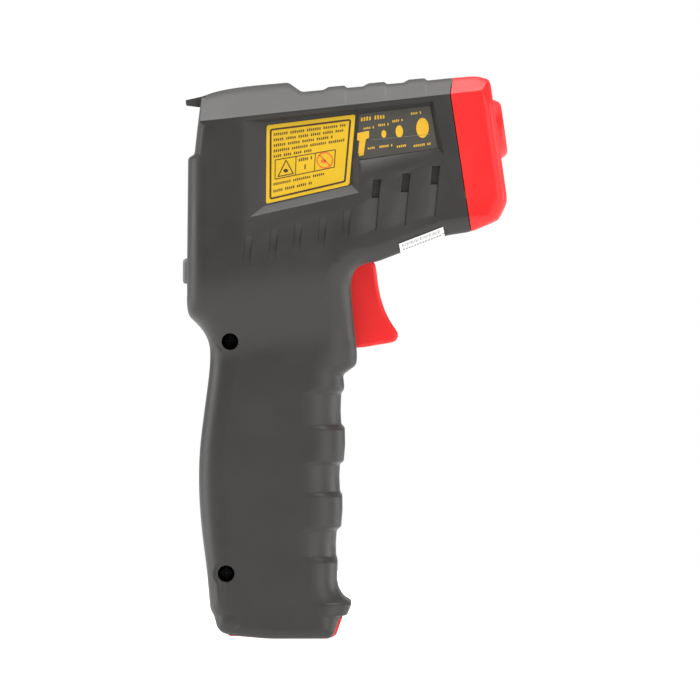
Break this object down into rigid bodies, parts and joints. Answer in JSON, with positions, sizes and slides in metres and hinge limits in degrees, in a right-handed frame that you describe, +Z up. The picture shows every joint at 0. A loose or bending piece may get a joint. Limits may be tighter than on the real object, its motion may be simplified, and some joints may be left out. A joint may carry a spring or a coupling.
{
  "type": "infrared thermometer",
  "caption": "Pistol-shaped infrared thermometer with clamshell grip, sprung trigger, lens boss proud of the red nose, rear display and keys, and a hinged battery door in the foot.",
  "frame": {"origin": "under the middle of the whole, at the level of the foot it stands on", "axes": "+X towards the nose, +Y towards the left side, +Z up"},
  "size_m": [0.1011, 0.047, 0.175],
  "materials": {
    "housing": "fine moulded texture, charcoal",
    "red_plastic": "satin moulded",
    "black_plastic": "matte moulded",
    "lens": "polished, dark infrared coating",
    "clear_window": "clear polished",
    "display": "liquid crystal grey",
    "circuit_board": "solder mask",
    "key_rubber": "soft matte",
    "steel": "plated",
    "brass": "turned",
    "battery_jacket": "printed steel jacket",
    "wire_red": "insulation",
    "yellow_label": "printed film",
    "dark_label": "printed film",
    "white_label": "printed film"
  },
  "bodies": {
    "housing": {"right_shell": "housing", "left_shell": "housing", "nose_cap": "red_plastic", "lens_bezel": "black_plastic", "ir_lens": "lens", "lens_tube": "black_plastic", "ir_sensor": "steel", "sensor_board": "circuit_board", "laser_window": "clear_window", "laser_module": "brass", "rear_panel": "black_plastic", "display_window": "clear_window", "lcd_module": "display", "main_board": "circuit_board", "buzzer": "black_plastic", "key_switch_left": "steel", "key_switch_middle": "steel", "key_switch_right": "steel", "trigger_pin": "steel", "trigger_spring": "steel", "trigger_switch": "black_plastic", "switch_board": "circuit_board", "battery": "battery_jacket", "battery_snap": "black_plastic", "battery_lead_red": "wire_red", "battery_lead_black": "black_plastic", "battery_door_pin": "steel", "case_screw_upper": "steel", "case_screw_lower": "steel", "warning_label": "yellow_label", "spot_size_label": "dark_label", "serial_label": "white_label"},
    "trigger": {"trigger": "red_plastic"},
    "key_left": {"key_left": "key_rubber"},
    "key_middle": {"key_middle": "key_rubber"},
    "key_right": {"key_right": "key_rubber"},
    "battery_door": {"battery_door": "red_plastic"}
  },
  "joints": [
    {"name": "trigger_pull", "type": "hinge", "parent": "housing", "child": "trigger", "pos_m": [0.0046, 0, 0.121], "axis": [0, 1, 0], "range_deg": [0, 5], "stiffness_Nm_per_rad": 0.3, "springref_deg": -2.86, "deforming": ["trigger_spring"]},
    {"name": "key_left_press", "type": "slide", "parent": "housing", "child": "key_left", "axis": [1, 0, 0], "range_m": [0, 0.0008], "stiffness_N_per_m": 300, "springref_m": -0.0005},
    {"name": "key_middle_press", "type": "slide", "parent": "housing", "child": "key_middle", "axis": [1, 0, 0], "range_m": [0, 0.0008], "stiffness_N_per_m": 300, "springref_m": -0.0005},
    {"name": "key_right_press", "type": "slide", "parent": "housing", "child": "key_right", "axis": [1, 0, 0], "range_m": [0, 0.0008], "stiffness_N_per_m": 300, "springref_m": -0.0005},
    {"name": "battery_door_hinge", "type": "hinge", "parent": "housing", "child": "battery_door", "pos_m": [-0.0352, 0, 0.003], "axis": [0, 1, 0], "range_deg": [0, 95]}
  ]
}
